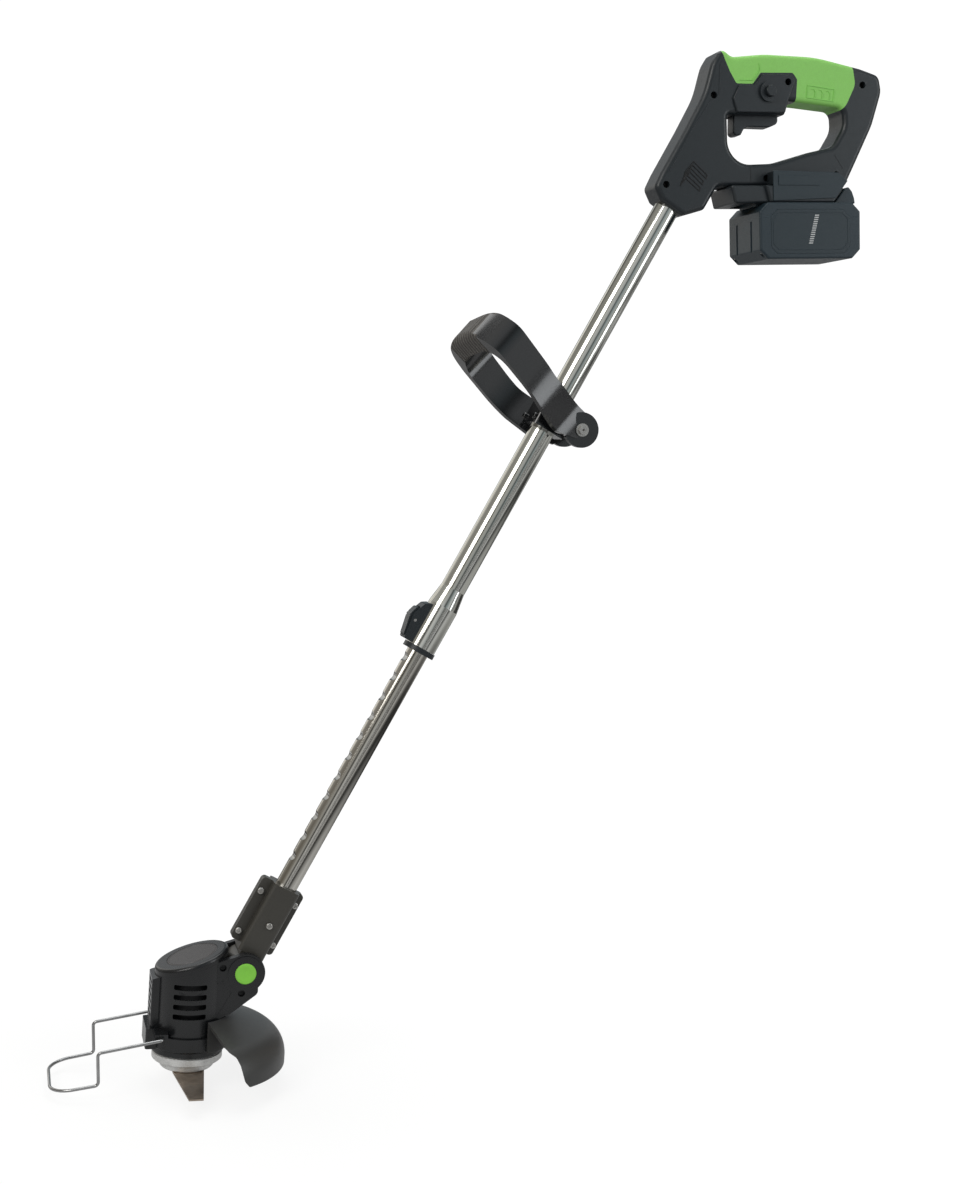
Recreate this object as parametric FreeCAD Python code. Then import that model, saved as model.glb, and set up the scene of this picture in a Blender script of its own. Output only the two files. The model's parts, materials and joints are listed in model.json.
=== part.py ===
import FreeCAD, Part
import math
import os
from FreeCAD import Placement, Rotation, Vector

# Cordless grass trimmer with a telescopic shaft, a tilting motor head and a bar blade.
# Millimetres. +Z is up along the blade spindle, +X runs back from the head towards the
# rear handle in the plane of symmetry, and -Y is the user's left. The origin is the free
# end of the blade spindle.

# ---------------------------------------------------------------- driving dimensions
# Overall layout
shaft_angle = 63.5          # tube axis above the blade's plane, degrees
handle_angle = 57.5         # tube axis above the battery's base, degrees
pivot_x = 49.0              # tilt axis of the head, behind the spindle
pivot_height = 115.0        # tilt axis above the spindle's free end
socket_u = 861.0            # mouth of the rear handle, along the shaft from the tilt axis
collar_u = 357.0            # lower end of the upper tube's collar, along the shaft
assist_u = 622.0            # pivot bolt of the assist handle, along the shaft

# Fits
running = 0.05              # radial clearance of a shaft in its hole
slide_gap = 0.35            # gap between bodies that move past each other
seat_gap = 0.1              # gap between fixed neighbours that only touch
split_gap = 0.05            # half of the gap between two half shells

# Tubes
upper_r = 12.7
collar_r = 15.6
lower_r = 11.0
tube_wall = 1.2
collar_len = 46.0
swage_len = 20.0
socket_depth = 66.0         # how far the upper tube goes into the rear handle
lower_overlap = 76.0        # lower tube inside the upper one at full length
notch_pitch = 22.4
notch_depth = 2.6
notch_count = 12
lead_r = 3.0
coil_r = 7.0
coil_bore_r = 3.6

# Tube lock
lock_pivot_du = 21.0        # lever pivot from the collar's lower end
lock_pivot_v = 20.6
lock_pin_r = 2.4
lock_pin_du = 7.0           # pin from the collar's lower end
lock_swing = 1.8            # how far the pin leans towards the head as the lever is pressed
lock_half_width = 7.6
lock_wall = 2.0

# Blade stack, from the spindle's free end upwards
spindle_r = 4.0
spindle_free = 8.0
spindle_relief = 1.0        # undercut between the free stub and the nut
nut_height = 6.5
nut_flats = 13.0
washer_r = 15.0
washer_thick = 1.6
blade_thick = 1.6
blade_radius = 90.0
blade_root_width = 30.0
blade_tip_width = 13.5
hub_low_r = 26.0
hub_low_height = 7.8
hub_top_r = 34.0
hub_top_height = 8.4
hub_gap = 0.6

# Motor head
ring_r = 35.5
ring_height = 5.6
base_r = 38.0
base_height = 14.4
housing_r = 35.0
housing_wall = 2.4
housing_front_height = 61.8 # front edge of the housing above the base flange
cap_slope = 17.0            # the cap rises towards the rear, degrees
cap_thick = 7.0
badge_r = 25.0
badge_thick = 1.2
motor_r = 24.0
motor_wall = 1.6
motor_length = 44.0
bell_height = 6.0
plate_thick = 3.0
rotor_r = 16.0
rotor_length = 28.0
bearing_r = 11.0
bearing_height = 7.0

# Tilt joint
ear_r = 19.0
ear_inner = 20.0
ear_outer = 27.0
knuckle_r = 16.6
pin_r = 6.0
button_r = 10.3
button_proud = 1.6
release_travel = 3.0
detent_thick = 3.0

# Neck clamp
neck_start = 16.0
neck_end = 88.0
neck_half_width = 16.5
neck_half_height = 15.5
neck_low_v = -12.6
flange_v = 26.0
flange_low_v = -20.0
flange_half = 5.0
tube_seat_u = 32.0          # lower end of the lower tube in the clamp
screw_r = 2.0
screw_head_r = 3.3
screw_head_height = 2.6
nut_r = 3.9
nut_thick = 3.0

# Guards
guard_r = 95.0
guard_wall = 2.6
guard_rim_z = 23.0
guard_top_z = 70.7          # where the guard meets the housing
guard_fall = 20.0           # how much lower its roof is at the rim
guard_round = 30.0
guard_half_angle = 68.0
wire_r = 1.5
wire_half_width = 42.0
wire_reach = 88.0           # from the spindle to the corner where the arms drop
wire_tip = 131.0
wire_fall = 10.4            # how far the arms fall from their hinge to the front corners
holder_half_width = 37.0
holder_height = 6.0
spine_half = 16.0
spine_proud = 3.5

# Assist handle
assist_v = -27.0
assist_bolt_r = 3.0
assist_ear_r = 17.6
assist_ear_in = 22.6
assist_ear_out = 29.6
assist_skew = 9.5           # the loop is set askew about its upright axis, degrees
assist_lean = 14.0          # the loop leans back from square to the shaft, degrees
loop_height = 148.0         # top of the loop above its pivot
loop_half_width = 50.0
loop_strap = 6.5
loop_bar = 23.0
knob_r = 15.0
knob_height = 16.0

# Rear handle
shell_half_width = 18.0
shell_wall = 3.2
shell_round = 5.0
cover_thick = 1.6
panel_proud = 2.2
trigger_half_width = 8.0
lockoff_r = 5.4
lockoff_travel = 4.0
screw_post_r = 5.0
case_screw_r = 1.6
case_head_r = 3.1
handle_screw_depth = 9.0    # screw heads below the handle's left face
head_screw_depth = 5.0

# Battery
battery_length = 112.0
battery_width = 75.0
battery_height = 56.0
battery_x = 86.0            # front face of the battery from the socket's mouth
battery_top = 4.0
battery_wall = 2.2
battery_bevel = 9.0
split_drop = 15.0           # the case is split this far below its top
pack_screw_r = 1.4
pack_screw_len = 43.0
pack_head_r = 2.4
release_width = 17.1
release_drop = 4.0          # travel of the release button
rail_height = 9.6
rail_stem = 19.0
rail_half = 25.0
rail_lip = 4.4
cell_r = 9.15
cell_length = 65.0
cell_pitch = 18.9
cell_columns = 5
cell_rows = 2

# ---------------------------------------------------------------- frames and helpers
X_AXIS = Vector(1, 0, 0)
Y_AXIS = Vector(0, 1, 0)
Z_AXIS = Vector(0, 0, 1)


def turned(origin, angle):
    """A frame in the plane of symmetry whose X axis rises by angle from level."""
    return Placement(origin, Rotation(Y_AXIS, -angle))


HEAD = Placement()
pivot = Vector(pivot_x, 0, pivot_height)
SHAFT = turned(pivot, shaft_angle)
HANDLE = turned(SHAFT.multVec(Vector(socket_u, 0, 0)), shaft_angle - handle_angle)
LOOP = SHAFT.multiply(turned(Vector(assist_u, 0, assist_v), -assist_lean))
LOOP_SKEW = LOOP.multiply(Placement(Vector(), Rotation(Z_AXIS, assist_skew)))
LOOP_FRONT = LOOP_SKEW.multiply(Placement(Vector(), Rotation(Z_AXIS, 90)))


def box(x0, x1, y0, y1, z0, z1):
    return Part.makeBox(x1 - x0, y1 - y0, z1 - z0, Vector(x0, y0, z0))


def slab(x0, x1, half, z0, z1):
    """A box that is symmetric about the XZ plane."""
    return box(x0, x1, -half, half, z0, z1)


def rod(r, start, end):
    along = end - start
    return Part.makeCylinder(r, along.Length, start, along)


def rod_y(r, x, z, y0, y1):
    return rod(r, Vector(x, y0, z), Vector(x, y1, z))


def rod_z(r, z0, z1, x=0.0, y=0.0):
    return rod(r, Vector(x, y, z0), Vector(x, y, z1))


def rod_x(r, x0, x1, y=0.0, z=0.0):
    return rod(r, Vector(x0, y, z), Vector(x1, y, z))


def rounded(points, radii, closed):
    """A wire of straight runs through the points, with an arc of its own radius at each corner."""
    count = len(points)
    joins = []
    for i, here in enumerate(points):
        ends_here = not closed and i in (0, count - 1)
        if ends_here or radii[i] <= 0:
            joins.append((here, None, here))
            continue
        to_prev = (points[i - 1] - here).normalize()
        to_next = (points[(i + 1) % count] - here).normalize()
        half = to_prev.getAngle(to_next) / 2
        back = radii[i] / math.tan(half)
        inward = (to_prev + to_next).normalize()
        middle = here + inward * (radii[i] / math.sin(half) - radii[i])
        joins.append((here + to_prev * back, middle, here + to_next * back))
    edges = []
    for i, (first, middle, last) in enumerate(joins):
        if middle is not None:
            edges.append(Part.Arc(first, middle, last).toShape())
        start = joins[(i + 1) % count][0]
        if (closed or i < count - 1) and (start - last).Length > 1e-4:
            edges.append(Part.LineSegment(last, start).toShape())
    return Part.Wire(edges)


def outline(corners):
    """A closed wire in the XZ plane through (x, z, radius) corners."""
    return rounded([Vector(x, 0, z) for x, z, _ in corners], [r for _, _, r in corners], True)


def plate(corners, y0, y1):
    """The outline's face, extruded from y0 to y1."""
    face = Part.Face(outline(corners))
    face.translate(Vector(0, y0, 0))
    return face.extrude(Vector(0, y1 - y0, 0))


def lathe(profile, axis=Z_AXIS):
    """A solid of revolution from (radius, height) points, about Z or X."""
    if axis == Z_AXIS:
        points = [Vector(r, 0, h) for r, h in profile]
    else:
        points = [Vector(h, 0, r) for r, h in profile]
    wire = Part.makePolygon(points + [points[0]])
    return Part.Face(wire).revolve(Vector(), axis, 360)


def fuse(shapes):
    whole = shapes[0].multiFuse(shapes[1:]) if len(shapes) > 1 else shapes[0]
    return whole.removeSplitter()


def cut(shape, *tools):
    return shape.cut(list(tools))


def group(shapes):
    return Part.makeCompound(shapes)


def in_frame(frame, shape):
    moved = shape.copy()
    moved.Placement = frame.multiply(moved.Placement)
    return moved


def half_space(side, size=500.0):
    """Everything on the left (-1) or right (+1) of the plane of symmetry."""
    near = split_gap * side
    far = size * side
    return box(-size, size, min(near, far), max(near, far), -size, size)


def soften(shape, radius, chosen):
    """Rounds the edges that chosen(edge) picks."""
    return shape.makeFillet(radius, [edge for edge in shape.Edges if chosen(edge)])


def on_side(edge, half, tolerance=0.01):
    ends = edge.BoundBox
    return abs(abs(ends.YMin) - half) < tolerance and ends.YLength < tolerance


def coil(radius, wire, length, turns, base, direction):
    """A compression spring of round wire, from base along direction."""
    helix = Part.makeHelix((length - 2 * wire) / turns, length - 2 * wire, radius)
    ring = Part.Wire(Part.makeCircle(wire, Vector(radius, 0, 0), Y_AXIS))
    spring = Part.Wire(helix.Edges).makePipeShell([ring], True, True)
    spring.translate(Vector(0, 0, wire))
    spring.Placement = Placement(base, Rotation(Z_AXIS, direction)).multiply(spring.Placement)
    return spring


def screw(base, direction, shank_r, length, head_r, head_height, recess=0.45):
    """A pan-head screw with a cross recess. base is under the head, and the shank runs along direction."""
    shank = Part.makeCylinder(shank_r, length)
    head = Part.makeCylinder(head_r, head_height, Vector(0, 0, -head_height))
    rim = [edge for edge in head.Edges if abs(edge.BoundBox.ZMax + head_height) < 0.01]
    head = head.makeFillet(head_height * 0.4, rim[:1])
    arm = head_r * 0.55
    slots = [Part.makeBox(2 * a, 2 * b, head_height, Vector(-a, -b, -1.5 * head_height))
             for a, b in ((arm, recess), (recess, arm))]
    body = cut(fuse([shank, head]), *slots)
    body.Placement = Placement(base, Rotation(Z_AXIS, direction))
    return body


def hexagon(flats, height, base, bore_r):
    corner = flats / math.sqrt(3)
    points = [Vector(corner * math.cos(math.radians(60 * k)), corner * math.sin(math.radians(60 * k)), 0)
              for k in range(7)]
    body = Part.Face(Part.makePolygon(points)).extrude(Vector(0, 0, height))
    body = cut(body, Part.makeCylinder(bore_r, height))
    body.translate(base)
    return body


nodes = {}
head_fixings = []
small_springs = []
hinge_pins = []


def keep(name, shape, frame=HEAD):
    nodes[name] = in_frame(frame, shape)


# ---------------------------------------------------------------- telescopic shaft
collar_top_u = collar_u + collar_len
tube_top_u = socket_u + socket_depth
lower_top_u = collar_u + lower_overlap
bush_r = collar_r - tube_wall - seat_gap
bush_bore_r = lower_r + running
notch_first_u = collar_u + lock_pin_du
lock_pin_u = collar_u + lock_pin_du
neck_mid_u = 0.5 * (neck_start + neck_end) - 3
coil_start_u = lower_top_u + 6.0
coil_end_u = tube_top_u - 6.0


def notch_cuts():
    """Scallops on the upper-left side of the lower tube, one for each length it locks at."""
    cutter_r = 6.0
    for k in range(notch_count):
        centre = Vector(notch_first_u - k * notch_pitch, -lower_r, lower_r - notch_depth + cutter_r)
        yield rod(cutter_r, centre, centre + Y_AXIS * 2 * lower_r)


def make_tubes():
    swage_u = collar_top_u + swage_len
    outer = [(collar_r, collar_u), (collar_r, collar_top_u), (upper_r, swage_u), (upper_r, tube_top_u)]
    inner = [(r - tube_wall, u) for r, u in reversed(outer)]
    lock_hole_r = lock_pin_r + slide_gap
    lock_ends = [rod_z(lock_hole_r, 0, 2 * collar_r, u) for u in (lock_pin_u - lock_swing, lock_pin_u)]
    lock_hole = fuse(lock_ends + [slab(lock_pin_u - lock_swing, lock_pin_u, lock_hole_r, 0, 2 * collar_r)])
    keep("upper_tube", cut(lathe(outer + inner, X_AXIS), lock_hole), SHAFT)

    solid = rod_x(lower_r, tube_seat_u, lower_top_u)
    flats = Part.makeCompound(list(notch_cuts()))
    core = rod_x(lower_r - tube_wall, tube_seat_u - 1, lower_top_u + 1)
    inner_notches = flats.copy()
    inner_notches.translate(Vector(0, 0, -tube_wall))
    bore = core.cut(inner_notches)
    centre_hole = rod_y(screw_r + seat_gap, neck_mid_u, 0, -collar_r, collar_r)
    keep("lower_tube", cut(solid.cut(flats), bore, centre_hole), SHAFT)

    ring_len = 5.5
    ring = lathe([(lower_r + slide_gap, collar_u - ring_len), (collar_r + 1.1, collar_u - ring_len),
                  (collar_r + 1.1, collar_u - 0.1), (lower_r + slide_gap, collar_u - 0.1)], X_AXIS)
    keep("collar_ring", ring, SHAFT)

    bush = lathe([(bush_bore_r, collar_u), (bush_r, collar_u), (bush_r, collar_top_u - 1),
                  (bush_bore_r, collar_top_u - 1)], X_AXIS)
    keep("guide_bush", cut(bush, lock_hole), SHAFT)

    keep("coiled_lead", cut(rod_x(coil_r, coil_start_u, coil_end_u),
                            rod_x(coil_bore_r, coil_start_u - 1, coil_end_u + 1)), SHAFT)
    keep("lower_lead", rod_x(lead_r, neck_mid_u + 2 * screw_r, lower_top_u), SHAFT)


def make_tube_lock():
    low, high = collar_u + 0.5, collar_u + 43.0
    pivot_u = collar_u + lock_pivot_du
    roof = 25.5
    side = [(low, 8, 0), (low, 22.0, 2), (pivot_u + 5, roof, 6), (high - 3, 20, 4), (high, 15, 2),
            (high, 8, 0)]
    shell = plate(side, -lock_half_width - lock_wall, lock_half_width + lock_wall)
    room = slab(low + lock_wall, high - 8, lock_half_width + 0.2, 8, 40)
    seat = rod_x(collar_r + seat_gap, low - 1, high + 1)
    hinge_hole = rod_y(1.5, pivot_u, lock_pivot_v, -12, 12)
    shell = cut(shell, room, seat, hinge_hole, box(low - 1, high + 1, -20, 20, -10, 10))
    keep("lock_housing", shell, SHAFT)

    lever_side = [(low + 2.4, 19.2, 0.5), (low + 2.4, 23.6, 2), (pivot_u + 3, 28.0, 5),
                  (high - 9, 25.0, 3), (high - 9, 21.6, 0.5), (pivot_u + 4, 19.2, 1)]
    lever = plate(lever_side, -lock_half_width + 0.2, lock_half_width - 0.2)
    peg = rod(lock_pin_r, Vector(lock_pin_u, 0, lower_r + slide_gap), Vector(lock_pin_u, 0, 21))
    lever = cut(fuse([lever, peg]), rod_y(1.5 + running, pivot_u, lock_pivot_v, -12, 12))
    ribs = [slab(pivot_u - 2 + 3 * k, pivot_u - 1 + 3 * k, lock_half_width, 27.2, 30) for k in range(3)]
    keep("lock_lever", cut(lever, *ribs), SHAFT)
    pin_half = lock_half_width + 1.8
    hinge_pins.append(in_frame(SHAFT, rod_y(1.5 - 0.02, pivot_u, lock_pivot_v, -pin_half, pin_half)))
    small_springs.append(in_frame(SHAFT, coil(2.2, 0.3, 2.4, 2, Vector(high - 13, 0, collar_r + 0.1),
                                              Z_AXIS)))


# ---------------------------------------------------------------- neck clamp
flange_screws = [(u, v) for v in (flange_v - 4.2, flange_low_v + 4.2) for u in (30.0, 74.0)]
flange_screws = [(u + (1.5 if v < 0 else 0.0), v) for u, v in flange_screws]


def detent_rings(face):
    """Toothed rings on both faces of the knuckle, which set the angle of the head."""
    rings = []
    for side in (-1, 1):
        y0, y1 = sorted((side * (face - 1), side * (face + detent_thick)))
        tooth_end = side * (face + detent_thick + 1)
        t0, t1 = sorted((side * (face + detent_thick - 0.9), tooth_end))
        gaps = []
        for k in range(12):
            gap = box(8.5, 20, t0, t1, -0.9, 0.9)
            gap.rotate(Vector(), Y_AXIS, 30 * k)
            gaps.append(gap)
        rings.append(cut(rod_y(14.5, 0, 0, y0, y1), *gaps))
    return rings


def make_neck():
    body = slab(neck_start, neck_end, neck_half_width, neck_low_v, neck_half_height)
    body = soften(body, 3.5, lambda e: e.BoundBox.XLength > 10)
    ears = [slab(neck_start + 5, neck_end, flange_half, neck_half_height - 3, flange_v),
            slab(neck_start + 5, neck_end, flange_half, flange_low_v, neck_low_v + 3)]
    ears = [soften(ear, 4.0, lambda e: e.BoundBox.YLength > 5 and abs(e.BoundBox.ZMin) > neck_half_height)
            for ear in ears]
    knuckle_half = ear_inner - slide_gap - detent_thick
    knuckle = rod_y(knuckle_r, 0, 0, -knuckle_half, knuckle_half)
    web = slab(0, neck_start + 4, knuckle_half - 1, -12, 12)
    whole = fuse([body, knuckle, web] + ears + detent_rings(knuckle_half))
    tube_seat = rod_x(lower_r + running, tube_seat_u, neck_end + 1)
    lead_way = rod_x(lead_r + 1, 0, tube_seat_u + 1)
    pin_way = rod_y(pin_r + running, 0, 0, -50, 50)
    bolts = [rod_y(screw_r + seat_gap, u, v, -50, 50) for u, v in flange_screws + [(neck_mid_u, 0)]]
    pockets = []
    for u, v in flange_screws[2:]:
        pockets.append(rod_y(screw_head_r + slide_gap, u, v, -50, -flange_half))
        pockets.append(rod_y(nut_r + slide_gap, u, v, flange_half, 50))
    whole = cut(whole, tube_seat, lead_way, pin_way, *(bolts + pockets))
    for name, side in (("neck_clamp_left", -1), ("neck_clamp_right", 1)):
        keep(name, whole.common(half_space(side)), SHAFT)

    screws = []
    nuts = []
    for u, v in flange_screws + [(neck_mid_u, 0)]:
        face = flange_half if v else neck_half_width
        length = 2 * face + nut_thick + 1.5
        screws.append(screw(Vector(u, -face - seat_gap, v), Y_AXIS, screw_r, length, screw_head_r,
                            screw_head_height))
        nut = hexagon(2 * nut_r * 0.87, nut_thick, Vector(), screw_r + 0.02)
        nut.Placement = Placement(Vector(u, face + seat_gap, v), Rotation(Z_AXIS, Y_AXIS))
        nuts.append(nut)
    keep("neck_screws", group(screws + nuts), SHAFT)


# ---------------------------------------------------------------- blade and spindle
nut_base = spindle_free
washer_base = nut_base + nut_height
blade_base = washer_base + washer_thick
hub_base = blade_base + blade_thick
hub_step = hub_base + hub_low_height
hub_top = hub_step + hub_top_height
ring_base = hub_top + hub_gap
base_bottom = ring_base + ring_height
base_top = base_bottom + base_height
motor_base = base_top + plate_thick + 0.5
motor_top = motor_base + motor_length
bell_top = motor_top + bell_height
spindle_top = bell_top - 1.0
shaft_r = 5.0


def make_blade_stack():
    relief_low = spindle_free - spindle_relief
    profile = [(0, 0), (spindle_r, 0), (spindle_r, relief_low),
               (spindle_r - 0.5, relief_low), (spindle_r - 0.5, spindle_free),
               (spindle_r, spindle_free), (spindle_r, hub_base + 2), (shaft_r, hub_base + 2),
               (shaft_r, spindle_top), (0, spindle_top)]
    keep("spindle", lathe(profile))
    keep("blade_nut", hexagon(nut_flats, nut_height, Vector(0, 0, nut_base), spindle_r + 0.02))
    keep("blade_washer", lathe([(spindle_r + running, washer_base), (washer_r, washer_base),
                                (washer_r, blade_base), (spindle_r + running, blade_base)]))
    half_root = blade_root_width / 2
    half_tip = blade_tip_width / 2
    shoulder = hub_low_r - 6.0
    points = [(half_root, -shoulder), (half_tip, -blade_radius), (-half_tip, -blade_radius),
              (-half_root, -shoulder),
              (-half_root, shoulder), (-half_tip, blade_radius), (half_tip, blade_radius),
              (half_root, shoulder)]
    wire = Part.makePolygon([Vector(x, y, blade_base) for x, y in points + points[:1]])
    blade = Part.Face(wire).extrude(Vector(0, 0, blade_thick))
    keep("blade", cut(blade, rod_z(spindle_r + running, 0, 50)))

    lip = 1.2
    profile = [(spindle_r + running, hub_base), (hub_low_r - lip, hub_base), (hub_low_r, hub_base + lip),
               (hub_low_r, hub_step - lip), (hub_low_r + lip, hub_step), (hub_top_r - lip, hub_step),
               (hub_top_r, hub_step + lip), (hub_top_r, hub_top - lip), (hub_top_r - lip, hub_top),
               (shaft_r + running, hub_top), (shaft_r + running, hub_base + 2),
               (spindle_r + running, hub_base + 2)]
    keep("blade_hub", lathe(profile))


# ---------------------------------------------------------------- motor
bearing_low = base_bottom + 2.0


def make_motor():
    can = lathe([(motor_r - motor_wall, motor_base), (motor_r, motor_base), (motor_r, motor_top),
                 (motor_r - motor_wall, motor_top)])
    magnet_in = rotor_r + 1.0
    magnets = []
    for side in (-1, 1):
        ring = lathe([(magnet_in, motor_base + 6), (motor_r - motor_wall - seat_gap, motor_base + 6),
                      (motor_r - motor_wall - seat_gap, motor_top - 8), (magnet_in, motor_top - 8)])
        magnets.append(ring.common(box(side * 5 if side > 0 else -50, 50 if side > 0 else -5, -50, 50, 0,
                                       300)))
    keep("motor_stator", group([can] + magnets))
    bell = lathe([(shaft_r + 1, motor_top), (motor_r, motor_top), (motor_r, bell_top - 2),
                  (motor_r - 2, bell_top), (shaft_r + 1, bell_top)])
    keep("motor_end_bell", bell)
    core = lathe([(shaft_r + 0.02, motor_base + 8), (rotor_r, motor_base + 8),
                  (rotor_r, motor_base + 8 + rotor_length),
                  (shaft_r + 0.02, motor_base + 8 + rotor_length)])
    slots = [rod_z(1.6, 0, 300, rotor_r * math.cos(a), rotor_r * math.sin(a))
             for a in (math.radians(72 * k) for k in range(5))]
    commutator_base = motor_base + 10 + rotor_length
    commutator = lathe([(shaft_r + 0.02, commutator_base), (8.5, commutator_base),
                        (8.5, motor_top - 1), (shaft_r + 0.02, motor_top - 1)])
    keep("rotor", group([cut(core, *slots), commutator]))
    mount = lathe([(bearing_r - 3, base_top + 0.1), (housing_r - housing_wall - 0.5, base_top + 0.1),
                   (housing_r - housing_wall - 0.5, base_top + plate_thick),
                   (bearing_r - 3, base_top + plate_thick)])
    keep("motor_plate", mount)
    bearing = lathe([(shaft_r + running, bearing_low), (bearing_r, bearing_low),
                     (bearing_r, bearing_low + bearing_height),
                     (shaft_r + running, bearing_low + bearing_height)])
    keep("spindle_bearing", bearing)


# ---------------------------------------------------------------- motor head
cap_top_mid = base_top + housing_front_height + housing_r * math.tan(math.radians(cap_slope))
CAP = turned(Vector(0, 0, cap_top_mid), cap_slope)
recess_r = knuckle_r + 1.2
head_screws_at = [(27.0, pivot_height + 6.0), (pivot_x - 3.0, pivot_height - 19.4)]
vent_pitch = 9.6
vent_height = 5.0


def slanted(low, high, size=120.0):
    """The space between two planes parallel to the cap, in mm from its top face."""
    return in_frame(CAP, box(-size, size, -size, size, low, high))


def vents():
    for k in range(4):
        z = base_top + 21.0 + k * vent_pitch
        corners = [(-19, z - vent_height / 2, 1.5), (12, z - vent_height / 2, 1.5),
                   (12, z + vent_height / 2, 1.5), (-19, z + vent_height / 2, 1.5)]
        yield plate(corners, -60, -25)
        yield plate(corners, 25, 60)


def make_housing():
    barrel = rod_z(housing_r, base_top + 0.1, 200)
    arm = [(-4, base_top + 5, 0), (14, base_top + 11, 10), (37, pivot_height - 39, 20),
           (pivot_x + 13, pivot_height - 20, 6), (pivot_x + 12, pivot_height + 14, 4),
           (pivot_x - 4, pivot_height + ear_r, 10), (20, pivot_height + ear_r + 1, 4),
           (-4, pivot_height + 10, 0)]
    arms = []
    for side in (-1, 1):
        y0, y1 = sorted((side * ear_inner, side * ear_outer))
        arms.append(plate(arm, y0, y1))
        arms.append(rod_y(ear_r, pivot_x, pivot_height, y0, y1))
        arms.append(rod_y(ear_r - 2, pivot_x, pivot_height,
                          *sorted((side * ear_inner, side * (ear_outer + 1)))))
    whole = fuse([barrel] + arms).cut(slanted(-cap_thick, 200))
    shield = rod_y(recess_r + housing_wall, pivot_x, pivot_height, -ear_inner - housing_wall,
                   ear_inner + housing_wall)
    cavity = rod_z(housing_r - housing_wall, base_top, 200).cut(shield)
    posts = [rod_y(3.6, x, z, -60, 60).common(rod_z(housing_r - 1, 0, 300)) for x, z in head_screws_at[:1]]
    cavity = cavity.cut(group(posts))
    recess = rod_y(recess_r, pivot_x, pivot_height, -ear_inner, ear_inner)
    counterbore_left = rod_y(button_r + 0.15, pivot_x, pivot_height, -60, -ear_inner - 1.6)
    counterbore_right = rod_y(button_r + 0.15, pivot_x, pivot_height, ear_outer - 2.5, 60)
    pin_way = rod_y(pin_r + running, pivot_x, pivot_height, -60, 60)
    screw_ways = []
    for x, z in head_screws_at:
        screw_ways.append(rod_y(case_screw_r + seat_gap, x, z, -60, 60))
        screw_ways.append(rod_y(case_head_r + 0.3, x, z, -60, -ear_outer + head_screw_depth))
    whole = cut(whole, cavity, recess, counterbore_left, counterbore_right, pin_way, *screw_ways, *vents())
    for name, side in (("housing_left", -1), ("housing_right", 1)):
        keep(name, whole.common(half_space(side)))
    length = 2 * ear_outer - head_screw_depth - 2.5
    head_fixings.extend(screw(Vector(x, -ear_outer + head_screw_depth - seat_gap, z), Y_AXIS, case_screw_r,
                              length, case_head_r, 2.0) for x, z in head_screws_at)

    cap = rod_z(housing_r, 0, 300).common(slanted(-cap_thick + seat_gap, 0))
    rim = [e for e in cap.Edges if e.BoundBox.ZMax > cap_top_mid + 5 and e.BoundBox.XLength > housing_r]
    top_rim = max(rim, key=lambda e: e.BoundBox.ZMax)
    cap = cap.makeFillet(3.5, [top_rim])
    badge_seat = in_frame(CAP, rod_z(badge_r + seat_gap, -badge_thick, 5))
    keep("motor_cap", cut(cap, badge_seat))

    spine = box(-housing_r - spine_proud, -housing_r + 9, -spine_half, spine_half,
                base_top + holder_height + 0.1, 200)
    spine = soften(spine, 2.0, lambda e: e.BoundBox.ZLength > 50 and e.BoundBox.XMax < -housing_r)
    windows = [box(-60, 0, -spine_half + 4, spine_half - 4, base_top + 15 + 6.4 * k,
                   base_top + 18.2 + 6.4 * k)
               for k in range(6)]
    keep("front_spine", cut(spine, rod_z(housing_r + seat_gap, 0, 300), slanted(-cap_thick - seat_gap, 200),
                            *windows))


def make_tilt_joint():
    pin = rod_y(pin_r, pivot_x, pivot_height, -ear_inner - 1.5, ear_outer - 2.4)
    head = rod_y(button_r, pivot_x, pivot_height, ear_outer - 2.4, ear_outer + 0.8)
    stem_r = 3.0
    bore = rod_y(stem_r + running, pivot_x, pivot_height, -60, 8)
    keep("tilt_pin", cut(fuse([pin, head]), bore))
    cap_back = ear_inner + 1.6 + release_travel + 0.3
    cap = rod_y(button_r, pivot_x, pivot_height, -ear_outer - button_proud, -cap_back)
    face_y = -ear_outer - button_proud
    cap = soften(cap, 1.2, lambda e: e.BoundBox.YMax < face_y + 0.01 and e.BoundBox.XLength > 5)
    dish = Part.makeSphere(40, Vector(pivot_x, -ear_outer - button_proud - 39.4, pivot_height))
    stem = rod_y(stem_r, pivot_x, pivot_height, -cap_back - 0.5, -12)
    keep("release_button", cut(fuse([cap, stem]), dish))
    keep("release_spring", coil(2.2, 0.45, 8.5, 6, Vector(pivot_x, -12 + release_travel + 0.2, pivot_height),
                                Y_AXIS))


def make_base():
    keep("base_flange", lathe([(6.2, ring_base), (ring_r - 1, ring_base), (ring_r, ring_base + 1),
                               (ring_r, base_bottom), (base_r - 2, base_bottom), (base_r, base_bottom + 2),
                               (base_r, base_top), (bearing_r + seat_gap, base_top),
                               (bearing_r + seat_gap, bearing_low - 0.1), (6.2, bearing_low - 0.1)]))
    depth_front = -base_r - 4.5
    ears = slab(wire_hinge_x - 7, wire_hinge_x + 5, holder_half_width, base_top + seat_gap,
                base_top + holder_height)
    lug = slab(depth_front, wire_hinge_x, holder_half_width - 17, base_bottom + 0.5, base_top + holder_height)
    block = fuse([ears, lug])
    block = soften(block, 2.5, lambda e: e.BoundBox.ZLength > 5 and e.BoundBox.XMax < depth_front + 1)
    hinge = rod_y(wire_r + running, wire_hinge_x, wire_hinge_z, -60, 60)
    flange_way = rod_z(base_r + seat_gap, 0, base_top + seat_gap)
    keep("wire_holder", cut(block, rod_z(housing_r + seat_gap, 0, 200), hinge, flange_way))


wire_hinge_x = -housing_r + 7.0
wire_hinge_z = base_top + 2.5


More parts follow.
